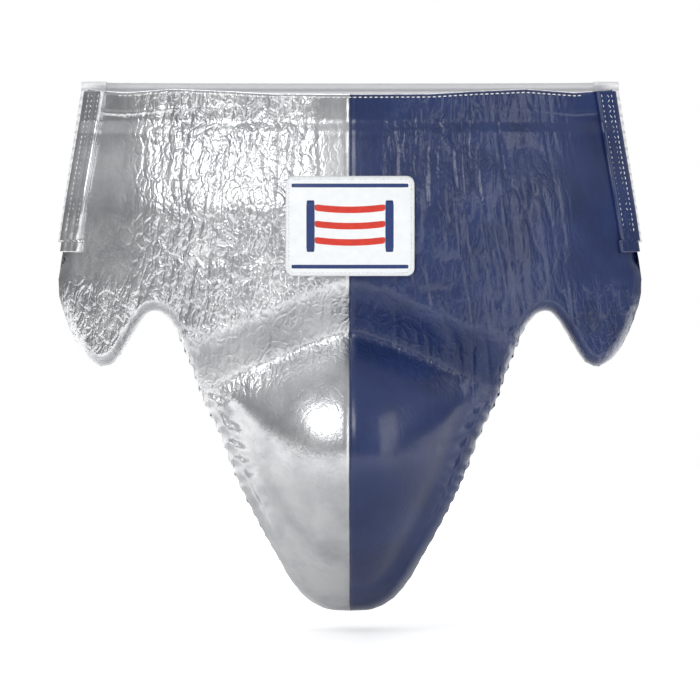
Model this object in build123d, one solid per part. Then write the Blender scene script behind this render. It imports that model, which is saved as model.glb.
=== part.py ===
from build123d import *
import math
import os

# A boxer's groin protector: a padded leather front panel with a hard cup, held by a wide
# elastic band behind the waist and two elastic leg straps.
# Millimetres. +Z is up, the front faces -Y, and +X is the wearer's left.
# The origin is the middle of the waist opening, at the height of the panel's top corners.

# ---- panel: outline ----
TOP_HALF = 156.6          # half width at the top corners
TOP_DIP = 3.2             # the top edge is this much lower in the middle
SEAM_HALF = 171.4         # half width at the lower end of the side seam
SEAM_LENGTH = 90.0        # height of the side seam, where the elastic is sewn on
HIP_SPLIT = 118.0         # the hip foams start this far from the middle, over the leg arch
WAIST_SPLIT = 138.0       # the abdomen foam ends this far below the top
PANEL_BOTTOM = 311.5
LEG_ROWS = 16             # fitted steps from the waist split down to the panel's bottom
CROTCH_ROWS = 2           # the lowest of them are the crotch foam's
CROTCH_SPLIT = PANEL_BOTTOM - CROTCH_ROWS * (PANEL_BOTTOM - WAIST_SPLIT) / LEG_ROWS

# ---- panel: form ----
FRONT_DEPTH = 72.0        # the panel's middle stands this far in front of the origin
WRAP_DEPTH = 72.0         # how far the panel has wrapped back at WRAP_HALF from the middle
WRAP_HALF = 172.0
WRAP_POWER = 2.6
BELLY_BULGE = 14.0        # stuffing in front of the abdomen
BELLY_TOP = (4.0, 48.0)   # depths below the top between which the bulge grows
BELLY_FADE = (38.0, 6.0)  # it fades from this far above the crease to this far below it
VALLEY_DEPTH = 145.0      # the crease above the cup, below the top, in the middle
VALLEY_SLOPE = 0.45       # the crease runs down towards the leg edges
VALLEY_ROUND = 15.0
CUP_BULGE = 42.0
CUP_BOTTOM = 305.0
CUP_PEAK_POWER = 0.84     # puts the fullest point a little above the middle of the cup
CUP_RIM_MARGIN = 8.0
TIP_START = 250.0         # below this the panel turns back between the legs
TIP_RETURN = 34.0

# ---- panel: layers, measured front to back ----
LEATHER = 1.5
FACE_FOAM = 10.0          # foam in front of the hard cup
CUP_WALL = 3.2
LINING = 1.2
FOAM_SPLIT_GAP = 1.2      # between the abdomen foam and the foam below it
GLUE_LINE = 0.9           # clearance between two layers that follow the same curve
HEM_THICKNESS = 6.0       # panel behind its neutral surface, at the top and sides
RIM_THICKNESS = 20.0      # the same round the cup
RIM_RISE = (85.0, 150.0)  # depths below the top between which it grows to that
CROTCH_THICKNESS = 48.0   # the same at the crotch tip, which reaches back between the legs
CROTCH_RISE = (262.0, 300.0)
CAVITY_MARGIN = 14.0      # rim foam between the hard cup's edge and its hollow
CUP_FIELD = (62.0, 144.0, 292.0)  # half width, top and bottom of the area that holds the cup

# ---- rear elastic ----
BAND_TOP = 4.5
BAND_BOTTOM = -92.0
BAND_THICKNESS = 2.0
BAND_REAR = 72.0
BAND_LAP = 11.0           # the band is sewn on behind the side seam over this width
BAND_PROUD = 5.5          # it stands this far outside the seam
BAND_CLEARANCE = 4.8      # its inner face behind the panel's lining, along Y, at the laps

# ---- leg straps ----
STRAP_WIDTH = 26.0
STRAP_THICKNESS = 2.0
STRAP_LAP = 17.0          # length of strap sewn to the band
STRAP_CANT = 0.085        # slope of its upper end, which lies flat on the band
ANCHOR_WIDTH = 58.0
ANCHOR_SPAN = (283.0, 297.0)   # depths below the top of the anchor patch
ANCHOR_STAND = 10.0       # along Y from the crotch's lining, with the straps between
TAB_MARGIN = 2.5          # a strap's leather tab is this much larger all round
TAB_THICKNESS = 1.4
SEWN_GAP = 0.3            # between two pieces that are sewn together

# ---- trim ----
HEM_WIDTH = 14.0
HEM_LEATHER = 1.3
HEM_GAP = 0.6             # the hem and the stitches stand this far off the leather, along Y
LABEL_WIDTH = 75.0
LABEL_HEIGHT = 58.0
LABEL_CENTRE = -80.5
LABEL_THICKNESS = 1.0
LABEL_CORNER = 4.5
THREAD = 0.7
STITCH_STAND = 0.9        # gap under a straight thread, so that its middle clears a curved surface
STITCH_LENGTH = 3.0
STITCH_PITCH = 4.4

REACH = 400.0             # long enough to pass through the whole panel


def smooth(low, high, value):
    """Rise from 0 at low to 1 at high with level ends."""
    t = min(1.0, max(0.0, (value - low) / (high - low)))
    return t * t * (3.0 - 2.0 * t)


def along(points, value):
    """Read the size at a value from a line through (place, size) points."""
    for (a, low), (b, high) in zip(points, points[1:]):
        if value <= b:
            return low + (high - low) * (value - a) / (b - a)
    return points[-1][1]


def valley(x):
    """Depth below the top of the crease between the abdomen and the cup."""
    rounded = math.sqrt(x * x + VALLEY_ROUND ** 2) - VALLEY_ROUND
    return VALLEY_DEPTH + VALLEY_SLOPE * rounded


def lower_half_width(depth):
    """Half width of the panel between the legs at a depth below the top."""
    return along([(138, 105.5), (148, 99.5), (160, 95), (172, 91), (185, 86), (208, 75), (232, 66),
                  (255, 54.5), (268, 48), (279, 41.5), (290, 35), (300, 28.5), (306, 21.5),
                  (PANEL_BOTTOM, 9)], depth)


def top_z(x):
    """Top edge of the panel."""
    return -TOP_DIP * (1.0 - abs(x) / TOP_HALF)


def bottom_z(x):
    """Lower edge of the abdomen foam, which rises into the leg arch at its ends."""
    return along([(0, -WAIST_SPLIT), (96, -WAIST_SPLIT), (106, -135.4), (112, -132), (118, -131.4)], abs(x))


def neutral_y(x, z):
    """The surface that the panel is built on, with no bulges."""
    wrap = WRAP_DEPTH * (abs(x) / WRAP_HALF) ** WRAP_POWER
    tip = max(0.0, (-z - TIP_START) / (PANEL_BOTTOM - TIP_START))
    return -FRONT_DEPTH + wrap + TIP_RETURN * tip * tip


def cup_dome(x, z):
    """The cup's bulge, from 0 at its edge to 1 at its fullest point."""
    depth = -z
    if depth < WAIST_SPLIT:
        return 0.0
    across = abs(x) / (lower_half_width(depth) - CUP_RIM_MARGIN)
    down = (depth - valley(x)) / (CUP_BOTTOM - valley(x))
    if across >= 1.0 or down <= 0.0 or down >= 1.0:
        return 0.0
    return (1.0 - across ** 2.4) ** 1.5 * math.sin(math.pi * down ** CUP_PEAK_POWER) ** 1.6


def front_y(x, z):
    """Outer face of the leather."""
    depth = -z
    crease = valley(x)
    fade = 1.0 - smooth(crease - BELLY_FADE[0], crease + BELLY_FADE[1], depth)
    belly = BELLY_BULGE * smooth(BELLY_TOP[0], BELLY_TOP[1], depth) * fade
    return neutral_y(x, z) - belly - CUP_BULGE * cup_dome(x, z)


def back_y(x, z):
    """The body side of the panel, with the cup's hollow filled."""
    depth = -z
    thickness = HEM_THICKNESS
    thickness += (RIM_THICKNESS - HEM_THICKNESS) * smooth(*RIM_RISE, depth)
    thickness += (CROTCH_THICKNESS - RIM_THICKNESS) * smooth(*CROTCH_RISE, depth)
    return neutral_y(x, z) + thickness


def spread(low, high, count):
    return [low + (high - low) * i / (count - 1) for i in range(count)]


def waist_grid(x_from, x_to, columns, rows):
    """Places on the part above the leg arches, in columns from the top edge down."""
    return [[(x, z) for z in spread(top_z(x), bottom_z(x), rows)] for x in spread(x_from, x_to, columns)]


def leg_grid(side_from, side_to, depth_from, depth_to, columns, rows):
    """Places between the legs, in rows that follow the leg edges; a side runs from -1 to 1."""
    return [[(side * lower_half_width(depth), -depth) for depth in spread(depth_from, depth_to, rows)]
            for side in spread(side_from, side_to, columns)]


def hip_grid(side, columns, rows):
    """Places on a hip wing, between the hip split and the side seam; a side is -1 or 1."""
    outer = Spline((TOP_HALF, 0), (164, -45), (SEAM_HALF, -SEAM_LENGTH), (171.8, -103), (174.2, -118),
                   (169.5, -139), (161, -155), (149, -164.8))
    bow = 5.0
    grid = []
    for across in spread(0.0, 1.0, columns):
        column = []
        for down in spread(0.0, 1.0, rows):
            edge = outer.position_at(down)
            z = top_z(HIP_SPLIT) + (bottom_z(HIP_SPLIT) - top_z(HIP_SPLIT)) * down
            sag = bow * math.sin(math.pi * across) * down ** 4
            column.append((side * (HIP_SPLIT + (edge.X - HIP_SPLIT) * across), z + (edge.Y - z) * across - sag))
        grid.append(column)
    return grid


def cup_field():
    """Places on the rectangle that holds the cup."""
    half, top, bottom = CUP_FIELD
    return [[(x, -depth) for depth in spread(top, bottom, 17)] for x in spread(-half, half, 15)]


def solid_between(front_points, back_points):
    """A solid between two grids of points that match, closed by ruled edges."""
    faces = [Face.make_surface_from_array_of_points(points, tol=0.05, min_deg=3)
             for points in (front_points, back_points)]
    loops = []
    for face, points in zip(faces, (front_points, back_points)):
        corners = [Vector(*spot) for spot in (points[0][0], points[0][-1], points[-1][-1], points[-1][0])]
        loops.append([edge_joining(face, a, b) for a, b in zip(corners, corners[1:] + corners[:1])])
    sides = [Face.make_surface_from_curves(a, b) for a, b in zip(*loops)]
    return Solid(Shell(faces + sides))


def edge_joining(face, start, end):
    """The edge of a four-sided face that runs between two of its corners."""
    def miss(edge):
        first, last = edge.position_at(0), edge.position_at(1)
        return min((first - start).length + (last - end).length, (last - start).length + (first - end).length)
    return min(face.edges(), key=miss)


def lifted(grid, surface, shift):
    return [[(x, surface(x, z) + shift, z) for x, z in column] for column in grid]


def block(grid, front, front_shift, back, back_shift):
    """A solid between two surfaces over one grid of places."""
    return solid_between(lifted(grid, front, front_shift), lifted(grid, back, back_shift))


def sheet(grid, surface, shift, thickness):
    """A layer of one thickness, measured front to back."""
    face = Face.make_surface_from_array_of_points(lifted(grid, surface, shift), tol=0.05, min_deg=3)
    return Solid.extrude(face, Vector(0, thickness, 0))


def through(face):
    """Run a flat outline, drawn as (x, z), right through the panel along Y."""
    return Solid.extrude(Plane.XZ.offset(REACH / 2) * face, Vector(0, REACH, 0))


def cup_face(margin=0.0):
    """The pear shape of the hard cup, or of its hollow when a margin is taken off."""
    half = Spline(
        (0, -151 - margin), (40 - 0.75 * margin, -159 - 0.9 * margin), (57 - margin, -186),
        (52 - margin, -222), (33 - 0.9 * margin, -262 + 0.5 * margin), (0, -286 + margin),
        tangents=[(1, 0), (-1, 0)],
    )
    return Face(Wire([half, half.mirror(Plane.YZ)]))


def panel_sheets(surface, shift, thickness, sides, hole=None):
    """One layer of the whole panel, or of one side of it: the waist, the legs and the hips."""
    low, high = sides
    waist = waist_grid(low * HIP_SPLIT, high * HIP_SPLIT, 10 * (high - low) + 1, 13)
    legs = leg_grid(low, high, WAIST_SPLIT, PANEL_BOTTOM, 8 * (high - low) + 1, LEG_ROWS + 1)
    pieces = [sheet(waist, surface, shift, thickness), sheet(legs, surface, shift, thickness)]
    if hole:
        pieces[1] = pieces[1] - hole
    for side in (-1, 1):
        if low <= side <= high:
            pieces.append(sheet(hip_grid(side, 9, 15), surface, shift, thickness))
    return Compound(pieces)


def leather_shells():
    return {
        "leather_shell_right": panel_sheets(front_y, 0.0, LEATHER, (-1, 0)),
        "leather_shell_left": panel_sheets(front_y, 0.0, LEATHER, (0, 1)),
    }


def foams():
    """The padding between the leather and the lining."""
    front = LEATHER + GLUE_LINE
    back = -LINING - GLUE_LINE
    cup = through(cup_face())
    hollow = through(cup_face(CAVITY_MARGIN))
    surround = leg_grid(-1, 1, WAIST_SPLIT + FOAM_SPLIT_GAP, CROTCH_SPLIT, 17, LEG_ROWS + 1 - CROTCH_ROWS)
    crotch = leg_grid(-1, 1, CROTCH_SPLIT, PANEL_BOTTOM, 17, 2 * CROTCH_ROWS + 1)
    rim = block(cup_field(), front_y, LEATHER + FACE_FOAM + CUP_WALL + GLUE_LINE, back_y, back)
    solids = {
        "abdomen_foam": block(waist_grid(-HIP_SPLIT, HIP_SPLIT, 21, 13), front_y, front, back_y, back),
        "cup_surround_foam": block(surround, front_y, front, back_y, back) - cup,
        "crotch_foam": block(crotch, front_y, front, back_y, back),
        "cup_face_foam": sheet(cup_field(), front_y, front, FACE_FOAM - 2 * GLUE_LINE) & cup,
        "cup_rim_foam": (rim & cup) - hollow,
    }
    for side, name in ((-1, "right"), (1, "left")):
        solids["hip_foam_" + name] = block(hip_grid(side, 9, 15), front_y, front, back_y, back)
    return solids


def hard_cup():
    return sheet(cup_field(), front_y, LEATHER + FACE_FOAM, CUP_WALL) & through(cup_face())


def linings():
    """The body side: a lining over the whole panel and a separate one down in the cup."""
    hollow = through(cup_face(CAVITY_MARGIN))
    inner = through(cup_face(CAVITY_MARGIN + LINING))
    floor = LEATHER + FACE_FOAM + CUP_WALL + GLUE_LINE
    deep = block(cup_field(), front_y, floor, back_y, 0.0) & hollow
    scoop = block(cup_field(), front_y, floor + LINING, back_y, LINING) & inner
    return {
        "back_lining": panel_sheets(back_y, -LINING, LINING, (-1, 1), hole=hollow),
        "cup_lining": deep - scoop,
    }


def band_plan(z):
    """The band's inner face seen from above, from the left lap round the back to the right one."""
    seam = TOP_HALF + (SEAM_HALF - TOP_HALF) * (-z / SEAM_LENGTH)
    lap_start = seam - BAND_LAP
    reach = seam + BAND_PROUD - BAND_THICKNESS
    lap_y = back_y(lap_start, z) + BAND_CLEARANCE
    seam_y = back_y(seam, z) + BAND_CLEARANCE
    half = [(lap_start, lap_y), (seam, seam_y + 1.0), (reach, seam_y + 16.0)]
    for turn in (30, 45, 60, 75):
        angle = math.radians(turn)
        y = seam_y + 16.0 + (BAND_REAR - BAND_THICKNESS - seam_y - 16.0) * math.sin(angle)
        half.append((reach * math.cos(angle) ** 0.8, y))
    whole = half + [(0.0, BAND_REAR - BAND_THICKNESS)] + [(-x, y) for x, y in reversed(half)]
    return Spline(*whole)


def band_points(shift, low, high, columns, rows, z_from, z_to):
    """Points on the band between two fractions of its length, pushed outwards by a shift."""
    grid = []
    for part in spread(low, high, columns):
        column = []
        for z in spread(z_from, z_to, rows):
            plan = band_plan(z)
            place, line = plan.position_at(part), plan.tangent_at(part)
            column.append((place.X + shift * line.Y, place.Y - shift * line.X, z))
        grid.append(column)
    return grid


def band_piece(inner, thickness, low, high, columns, z_from, z_to, rows=5):
    spans = [band_points(shift, low, high, columns, rows, z_from, z_to) for shift in (inner, inner + thickness)]
    return solid_between(*spans)


def strap_route():
    """The middle of the left leg strap, from the crotch back and up to the band."""
    return Spline((14.5, -12.0, -286.2), (14.5, 0.3, -295.2), (15, 14, -298.6), (18, 34, -292),
                  (24, 54, -269), (35, 69, -228), (49, 75.5, -176), (62, 74.5, -128),
                  (70.5, 70.2, BAND_BOTTOM), (73, 69.8, BAND_BOTTOM + STRAP_LAP))


def leg_strap(side):
    route = strap_route()
    spans = []
    for push in (0.0, STRAP_THICKNESS):
        grid = []
        for part in spread(0.0, 1.0, 25):
            place, line = route.position_at(part), route.tangent_at(part)
            out = Vector(0, line.Z, -line.Y).normalized() * push
            middle = place + out
            half = STRAP_WIDTH / 2
            cant = STRAP_CANT * part ** 2
            grid.append([(side * (middle.X + a), middle.Y - cant * a, middle.Z) for a in (-half, 0, half)])
        spans.append(grid)
    return solid_between(*spans)


def strap_tab(side):
    """The leather tab that covers a strap's end on the outside of the band."""
    low, high = tab_span()
    if side < 0:
        low, high = 1 - high, 1 - low
    inner = BAND_THICKNESS + STRAP_THICKNESS + 4 * SEWN_GAP
    z_from, z_to = BAND_BOTTOM + TAB_MARGIN, BAND_BOTTOM + STRAP_LAP + 2 * TAB_MARGIN
    return band_piece(inner, TAB_THICKNESS, low, high, 5, z_from, z_to)


def tab_span():
    """Fractions of the band's length that the left strap's tab covers."""
    plan = band_plan(BAND_BOTTOM)
    half = (STRAP_WIDTH / 2 + TAB_MARGIN) / plan.length
    middle = min(spread(0.0, 0.5, 201), key=lambda part: abs(plan.position_at(part).X - strap_route().position_at(1).X))
    return middle - half, middle + half


def strap_anchor():
    """The leather patch over both straps' ends, on the body side of the crotch."""
    half = ANCHOR_WIDTH / 2
    grid = [[(x, -depth) for depth in spread(*ANCHOR_SPAN, 5)] for x in spread(-half, half, 7)]
    return sheet(grid, back_y, ANCHOR_STAND, TAB_THICKNESS)


def side_hem(side):
    """The flat leather strip over the side seam, which holds the band's end."""
    grid = []
    for across in (0.0, 0.5, 1.0):
        column = []
        for down in spread(0.012, 0.985, 9):
            seam = TOP_HALF + (SEAM_HALF - TOP_HALF) * down
            column.append((side * (seam - HEM_WIDTH * (1 - across)), -SEAM_LENGTH * down))
        grid.append(column)
    return sheet(grid, front_y, -HEM_LEATHER - HEM_GAP, HEM_LEATHER)


def label_patch():
    outline = Pos(0, LABEL_CENTRE) * RectangleRounded(LABEL_WIDTH, LABEL_HEIGHT, LABEL_CORNER)
    half = LABEL_WIDTH / 2 + 4
    grid = [[(x, z) for z in spread(LABEL_CENTRE + 34, LABEL_CENTRE - 34, 9)] for x in spread(-half, half, 9)]
    return sheet(grid, front_y, -LABEL_THICKNESS - SEWN_GAP, LABEL_THICKNESS) & through(outline.face())


def stitch_row(path, surface, lift):
    """Short threads along a path of (x, z) places, lying on a surface."""
    count = int(path.length / STITCH_PITCH)
    stitches = []
    for i in range(count):
        here, there = path.position_at((i + 0.15) / count), path.position_at((i + 0.85) / count)
        start = Vector(here.X, surface(here.X, here.Y) - lift, here.Y)
        end = Vector(there.X, surface(there.X, there.Y) - lift, there.Y)
        place = Plane(origin=(start + end) / 2, x_dir=end - start, z_dir=(0, -1, 0))
        stitches.append(place * Box(STITCH_LENGTH, THREAD, THREAD))
    return stitches


def stitching():
    """Every visible row of thread, grouped by the seam that it holds."""
    lift = STITCH_STAND + THREAD
    over_hem = lift + HEM_LEATHER + HEM_GAP
    over_label = lift + LABEL_THICKNESS
    inset = 3.0
    rows = {}
    edge = TOP_HALF - HEM_WIDTH - 4
    middle = (0, -TOP_DIP - inset)
    crest = [Line((side * edge, top_z(edge) - inset), middle) for side in (-1, 1)]
    rows["top_stitching"] = [thread for line in crest for thread in stitch_row(line, front_y, lift)]
    for side, name in ((-1, "right"), (1, "left")):
        threads = []
        for from_edge in (2.5, 6.5, 11.5):
            line = Line((side * (TOP_HALF - from_edge), -4), (side * (SEAM_HALF - from_edge), -SEAM_LENGTH + 4))
            threads += stitch_row(line, front_y, over_hem)
        rows["side_stitching_" + name] = threads
    half_width, half_height = LABEL_WIDTH / 2 - 2, LABEL_HEIGHT / 2 - 2
    low, high = LABEL_CENTRE - half_height, LABEL_CENTRE + half_height
    frame = [Line((-half_width + 3, z), (half_width - 3, z)) for z in (low, high)]
    frame += [Line((x, low + 3), (x, high - 3)) for x in (-half_width, half_width)]
    rows["label_stitching"] = [thread for line in frame for thread in stitch_row(line, front_y, over_label)]
    return {name: Compound(threads) for name, threads in rows.items()}


def all_parts():
    parts = {"hard_cup": hard_cup(), "strap_anchor": strap_anchor(), "label_patch": label_patch()}
    parts.update(leather_shells())
    parts.update(foams())
    parts.update(linings())
    parts["rear_elastic_band"] = band_piece(0.0, BAND_THICKNESS, 0.0, 1.0, 61, BAND_BOTTOM, BAND_TOP)
    for side, name in ((-1, "right"), (1, "left")):
        parts["side_hem_" + name] = side_hem(side)
        parts["leg_strap_" + name] = leg_strap(side)
        parts["strap_tab_" + name] = strap_tab(side)
    parts.update(stitching())
    return parts


os.makedirs("parts", exist_ok=True)
for node, shape in all_parts().items():
    export_step(shape, f"parts/{node}.step")
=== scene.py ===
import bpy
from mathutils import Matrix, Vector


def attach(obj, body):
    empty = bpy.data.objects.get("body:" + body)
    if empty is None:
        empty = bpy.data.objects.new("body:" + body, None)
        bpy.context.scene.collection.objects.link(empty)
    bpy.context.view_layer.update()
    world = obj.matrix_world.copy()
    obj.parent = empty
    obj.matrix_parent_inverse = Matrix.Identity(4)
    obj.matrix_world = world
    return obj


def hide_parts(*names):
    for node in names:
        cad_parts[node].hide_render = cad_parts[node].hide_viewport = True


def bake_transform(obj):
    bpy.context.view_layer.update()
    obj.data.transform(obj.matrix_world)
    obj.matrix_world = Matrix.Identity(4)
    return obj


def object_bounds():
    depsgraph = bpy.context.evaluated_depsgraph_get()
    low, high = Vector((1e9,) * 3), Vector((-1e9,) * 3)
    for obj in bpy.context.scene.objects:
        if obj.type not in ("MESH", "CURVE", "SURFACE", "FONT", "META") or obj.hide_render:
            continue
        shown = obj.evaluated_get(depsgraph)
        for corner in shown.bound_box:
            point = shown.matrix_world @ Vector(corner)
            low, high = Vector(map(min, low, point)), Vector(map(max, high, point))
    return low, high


bl_info = {
    "name": "Groin protector",
    "version": (1, 0, 0),
    "blender": (4, 5, 0),
    "location": "View3D > Sidebar > Protector",
    "description": "Builds the leather, elastic and stitching of a boxer's groin protector",
    "category": "Object",
}

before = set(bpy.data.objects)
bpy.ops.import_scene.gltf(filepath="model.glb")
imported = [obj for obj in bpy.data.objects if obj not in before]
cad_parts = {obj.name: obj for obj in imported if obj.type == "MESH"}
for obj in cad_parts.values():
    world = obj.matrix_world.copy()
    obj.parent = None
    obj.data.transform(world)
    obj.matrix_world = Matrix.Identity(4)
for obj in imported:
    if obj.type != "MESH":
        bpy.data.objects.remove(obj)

import math

import bmesh
import bpy
import numpy as np
from mathutils import Matrix, Vector

CAD_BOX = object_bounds()
MM = 0.001

# ---- the panel's outline, in millimetres from the origin, left half ----
# Each point of the lower edge is (across, up, where its column starts on the top edge).
LOWER_EDGE = [
    (0, -312, 0), (14, -310.6, 13), (26, -303.5, 24), (36, -290.5, 33), (42, -278.5, 39), (54.5, -255, 50.5),
    (66, -232, 61), (75, -208, 69.5), (81, -195, 75), (87, -183, 80), (92, -168, 85), (97.4, -154, 90),
    (103, -141.5, 94.5), (109, -134, 99), (115, -131.2, 103.5), (120.5, -133.5, 107.5), (126.5, -141.5, 112),
    (134, -154, 118.5), (139.5, -161.5, 123.5), (146, -165, 128.5), (153, -163.2, 133.5), (161, -156, 139),
    (168, -143.5, 144), (171.6, -134, 147), (174.4, -125, 149.5), (174.9, -114, 152), (173.4, -107, 153.3),
    (170.8, -101.5, 154.5), (170.3, -96, 155.5), (171.4, -90, 156.6),
]
TOP_WAVE = [(0, -3.4), (47, -3.2), (74, -1.6), (104, -0.3), (133, -2.2), (150, -0.9), (156.6, 0.0)]
TOP_HALF = 156.6
SEAM_HALF = 171.4
SEAM_LENGTH = 90.0

# ---- the panel's form: near the CAD solids' surfaces, but the cup, belly and hollow differ ----
FRONT_DEPTH = 72.0
WRAP_DEPTH = 72.0
WRAP_HALF = 172.0
WRAP_POWER = 2.6
VALLEY_DEPTH = 145.0
VALLEY_SLOPE = 0.45
VALLEY_ROUND = 15.0
CUP_BOTTOM = 305.0
TIP_START = 250.0
TIP_RETURN = 34.0
PANEL_BOTTOM = 311.5
CUP_LAYERS = 16.5         # leather, foam, cup and lining in front of the hollow
HARD_CUP = 42.0           # how far the moulded cup's dome stands out
PUCKER_PITCH = 8.5        # spacing of the puckers along the leg edges
HOLLOW_HALF = [(158, 8), (166, 30), (178, 41), (190, 44), (215, 41), (240, 33), (258, 21), (270, 8)]
LEG_HALF = [(138, 105.5), (148, 99.5), (160, 95), (172, 91), (185, 86), (208, 75), (232, 66), (255, 54.5),
            (268, 48), (279, 41.5), (290, 35), (300, 28.5), (306, 21.5), (312, 9)]


def smooth(low, high, value):
    """Rise from 0 at low to 1 at high with level ends."""
    t = np.clip((value - low) / (high - low), 0.0, 1.0)
    return t * t * (3.0 - 2.0 * t)


def bell(value, middle, width):
    """A smooth bump of height 1."""
    return np.exp(-((value - middle) / width) ** 2)


def table(points, value):
    """Read the size at a value from a line through (place, size) points."""
    places, sizes = zip(*points)
    return np.interp(value, places, sizes)


def spline(points, count):
    """Evenly spaced points on a smooth curve through the given ones."""
    p = np.array(points, float)
    p = np.vstack([2 * p[0] - p[1], p, 2 * p[-1] - p[-2]])
    fine = []
    for i in range(1, len(p) - 2):
        t = np.linspace(0.0, 1.0, 24, endpoint=False)[:, None]
        a, b, c, d = p[i - 1], p[i], p[i + 1], p[i + 2]
        fine.append(0.5 * (2 * b + (c - a) * t + (2 * a - 5 * b + 4 * c - d) * t ** 2
                           + (3 * b - a - 3 * c + d) * t ** 3))
    fine = np.vstack(fine + [p[-2:-1]])
    steps = np.linalg.norm(np.diff(fine, axis=0), axis=1)
    run = np.concatenate([[0.0], np.cumsum(steps)])
    places = np.linspace(0, run[-1], count)
    return np.stack([np.interp(places, run, fine[:, k]) for k in range(p.shape[1])], axis=1)


def field(x, z, seed):
    """Smooth random values from 0 to 1 over a plane, always the same for a seed."""
    lattice = np.random.default_rng(seed).random((256, 256))
    x0, z0 = np.floor(x).astype(int), np.floor(z).astype(int)
    fx, fz = x - x0, z - z0
    fx, fz = fx * fx * (3 - 2 * fx), fz * fz * (3 - 2 * fz)
    a, b = lattice[x0 % 256, z0 % 256], lattice[(x0 + 1) % 256, z0 % 256]
    c, d = lattice[x0 % 256, (z0 + 1) % 256], lattice[(x0 + 1) % 256, (z0 + 1) % 256]
    return (a * (1 - fx) + b * fx) * (1 - fz) + (c * (1 - fx) + d * fx) * fz


def crest(x):
    """Height of the wavy top edge."""
    return table(TOP_WAVE, np.abs(x))


def valley(x):
    """Depth of the crease between the belly and the cup."""
    return VALLEY_DEPTH + VALLEY_SLOPE * (np.sqrt(x * x + VALLEY_ROUND ** 2) - VALLEY_ROUND)


def neutral_y(x, z):
    """The curved surface that the panel's layers are measured from."""
    tip = np.maximum(0.0, (-z - TIP_START) / (PANEL_BOTTOM - TIP_START))
    return -FRONT_DEPTH + WRAP_DEPTH * (np.abs(x) / WRAP_HALF) ** WRAP_POWER + TIP_RETURN * tip * tip


def cup_dome(x, z, side_power=1.4, down_power=0.80, fullness=1.25):
    """Form of the cup, 1 at its fullest and 0 at its rim."""
    depth = -z
    across = np.clip(np.abs(x) / (table(LEG_HALF, depth) - 8.0), 0.0, 1.0)
    down = np.clip((depth - valley(x)) / (CUP_BOTTOM - valley(x)), 0.0, 1.0)
    inside = np.where(depth > 138.0, 1.0, 0.0)
    return inside * (1.0 - across ** 2.4) ** side_power * np.sin(math.pi * down ** down_power) ** fullness


def cup_inside_y(x, z):
    """The cup lining's face, behind the moulded cup."""
    return neutral_y(x, z) - HARD_CUP * cup_dome(x, z, 1.5, 0.84, 1.6) + CUP_LAYERS


def front_y(x, z, look):
    """The leather's outer face, stuffed and creased, before its edges are rounded."""
    depth = -z
    crease = valley(x)
    belly = look.belly * smooth(22.0, 75.0, depth) + look.pad_edge * smooth(18.0, 27.0, depth)
    belly *= 1.0 - smooth(crease - 33.0, crease + 1.0, depth)
    return neutral_y(x, z) - belly - look.cup * cup_dome(x, z)


def back_y(x, z):
    """Y of the panel's back before its edges are rounded and the hollow is dug."""
    depth = -z
    thickness = 6.0 + 14.0 * smooth(85.0, 150.0, depth) + 28.0 * smooth(262.0, 300.0, depth)
    return neutral_y(x, z) + thickness


def hollow(x, z, wider=0.0):
    """1 inside the cup's hollow, 0 on its rim, with a rounded lip between."""
    depth = -z
    half = table(HOLLOW_HALF, depth)
    side = 1.0 - smooth(half - 5.0 + wider, half + 4.0 + wider, np.abs(x))
    below_top = smooth(160.0 - wider, 172.0 - wider, depth)
    return side * below_top * (1.0 - smooth(256.0 + wider, 270.0 + wider, depth))


def gathering(x, z):
    """Where the leather is gathered into wrinkles: 1 over the belly, near 0 on the hips and the cup."""
    depth = -z
    belly = smooth(12.0, 34.0, np.abs(x)) * (1.0 - smooth(104.0, 138.0, np.abs(x)))
    above = 1.0 - smooth(-4.0, 20.0, depth - valley(x))
    return 0.12 + 0.88 * np.maximum(belly, 0.8 * smooth(108.0, 122.0, depth)) * above


def wrinkles(x, z, leg, seed, look):
    """Height of the creases in the leather, in millimetres, outwards."""
    depth = -z
    fan = np.abs(x) / (1.0 + 0.0011 * depth)
    drift = 9.0 * (field(x / 60.0 + 5, depth / 70.0 + 3, seed) - 0.5)
    height = np.zeros_like(x)
    for across, down, sharp, size, k in ((7.0, 40.0, 0.09, 0.85, 1), (4.4, 22.0, 0.12, 0.60, 2)):
        wave = field((fan + drift) / across + 31, depth / down + 17, seed + k)
        height -= size * bell(wave, 0.5, sharp)
    height += 0.9 * (field(fan / 16.0 + 7, depth / 60.0 + 9, seed + 5) - 0.5)
    height *= gathering(x, z)
    shift = 6.0 * field(depth / 23.0, x / 40.0 + 3, seed + 9)
    pucker = np.cos(2 * math.pi * (depth + 0.5 * np.abs(x)) / PUCKER_PITCH + shift)
    legs = smooth(128.0, 150.0, depth) * (1.0 - smooth(196.0, 250.0, depth))
    legs = legs * (1.0 - smooth(118.0, 126.0, np.abs(x)))
    height += 0.40 * pucker * legs * bell(leg, 3.0, 8.0)
    return look.wrinkle * height


def nearest(x, z, line):
    """Distance from each place to an open line of points."""
    a, b = line[:-1], line[1:]
    best = np.full(x.size, 1e9)
    px, pz = x.ravel(), z.ravel()
    for (ax, az), (bx, bz) in zip(a, b):
        dx, dz = bx - ax, bz - az
        t = np.clip(((px - ax) * dx + (pz - az) * dz) / max(dx * dx + dz * dz, 1e-9), 0.0, 1.0)
        best = np.minimum(best, (px - ax - t * dx) ** 2 + (pz - az - t * dz) ** 2)
    return np.sqrt(best).reshape(x.shape)


def dome_edge(distance, radius):
    """Rise from 0 at an edge to 1 at a radius in from it, as a quarter circle."""
    q = 1.0 - np.clip(distance / radius, 0.0, 1.0)
    return np.sqrt(np.maximum(0.0, 1.0 - q * q))


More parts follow.
